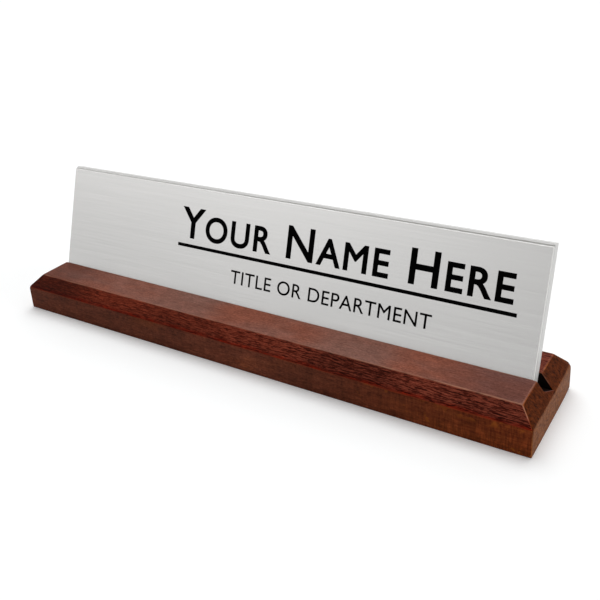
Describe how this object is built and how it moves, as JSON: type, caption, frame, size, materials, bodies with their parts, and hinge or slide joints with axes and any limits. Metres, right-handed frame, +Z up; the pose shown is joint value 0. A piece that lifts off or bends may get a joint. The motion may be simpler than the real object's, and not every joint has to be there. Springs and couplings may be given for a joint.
{
  "type": "desk name plate",
  "caption": "Long low wooden base with chamfered top edges and a tilted slot, holding a leaning bonded plate with a brushed silver face that shows a name on a desk and lifts out of the slot.",
  "frame": {"origin": "centre of the base's underside", "axes": "+Z up, +X to the right along the base, +Y towards the back, so the printed face looks towards -Y and leans back"},
  "size_m": [0.268, 0.051, 0.0672],
  "materials": {
    "base_wood": "red-brown stained hardwood, satin",
    "brushed_face": "fine lengthways brushed silver with black print",
    "adhesive": "white double-sided film, greyer to the right",
    "acrylic": "pale acrylic, gloss faces and satin cut edges"
  },
  "bodies": {
    "base": {"base": "base_wood"},
    "plate": {"face_sheet": "brushed_face", "bond_film": "adhesive", "backing_sheet": "acrylic"}
  },
  "joints": [
    {"name": "plate_lift", "type": "slide", "parent": "base", "child": "plate", "axis": [0, 0.3256, 0.9455], "range_m": [0, 0.015]}
  ]
}
